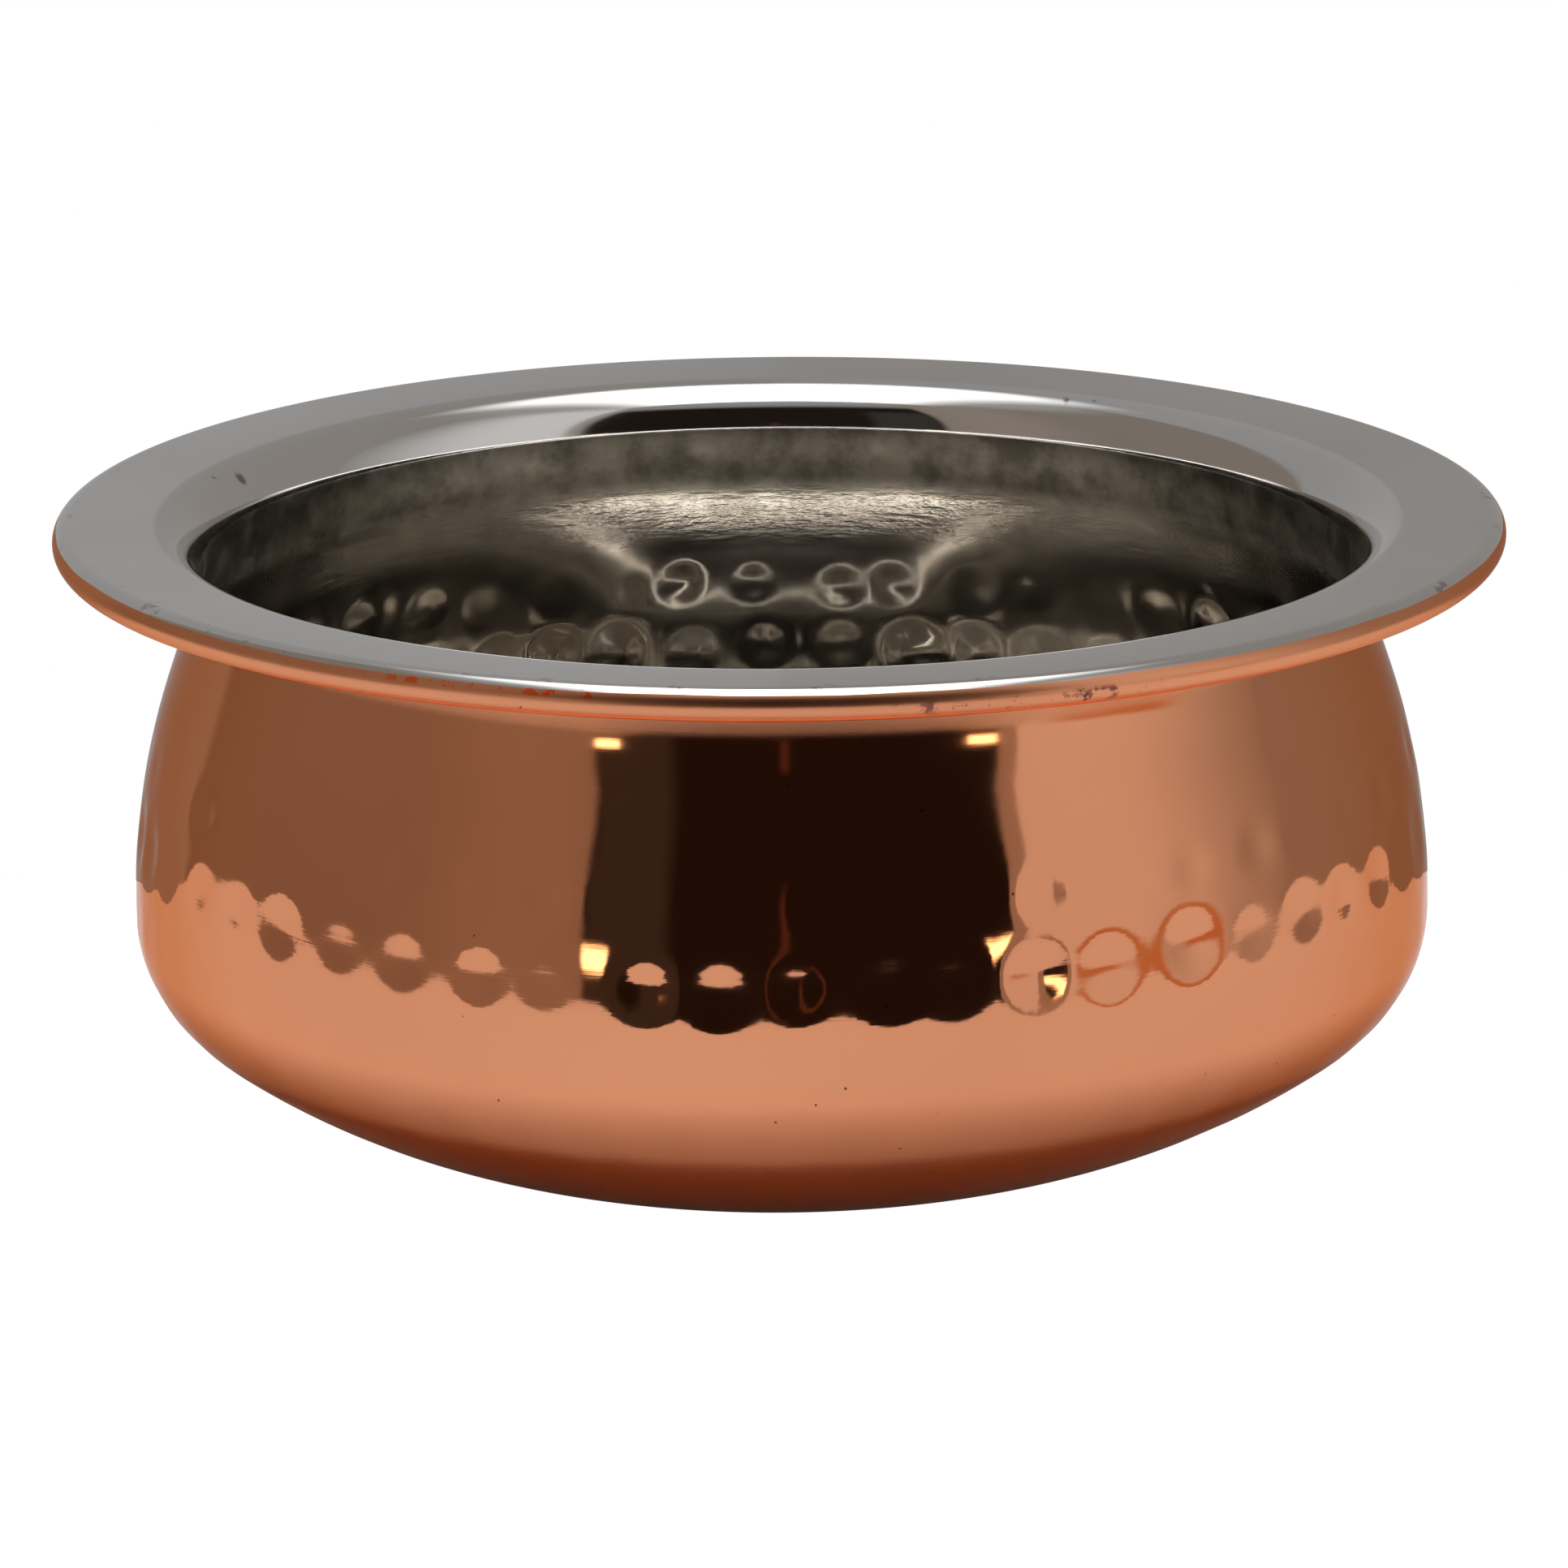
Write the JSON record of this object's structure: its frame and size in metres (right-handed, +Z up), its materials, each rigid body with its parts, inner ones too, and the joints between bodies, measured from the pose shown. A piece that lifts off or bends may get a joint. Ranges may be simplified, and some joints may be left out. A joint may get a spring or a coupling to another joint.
{
  "type": "serving bowl",
  "caption": "Round-bellied serving bowl with a wide flat flange, hammered copper outside and polished stainless steel inside.",
  "frame": {"origin": "centre of the flat base, on the plane that the bowl rests on", "axes": "+Z up along the bowl's axis of revolution, towards the mouth; +X and +Y are any two square radii"},
  "size_m": [0.15, 0.15, 0.0661],
  "materials": {
    "steel_liner": "polished stainless steel, slightly satin on the flange",
    "copper_jacket": "mirror-polished copper with rings of hammer dents",
    "rim_wire": "plain drawn steel wire, hidden in the bead"
  },
  "bodies": {
    "root": {"steel_liner": "steel_liner", "copper_jacket": "copper_jacket", "rim_wire": "rim_wire"}
  },
  "joints": []
}
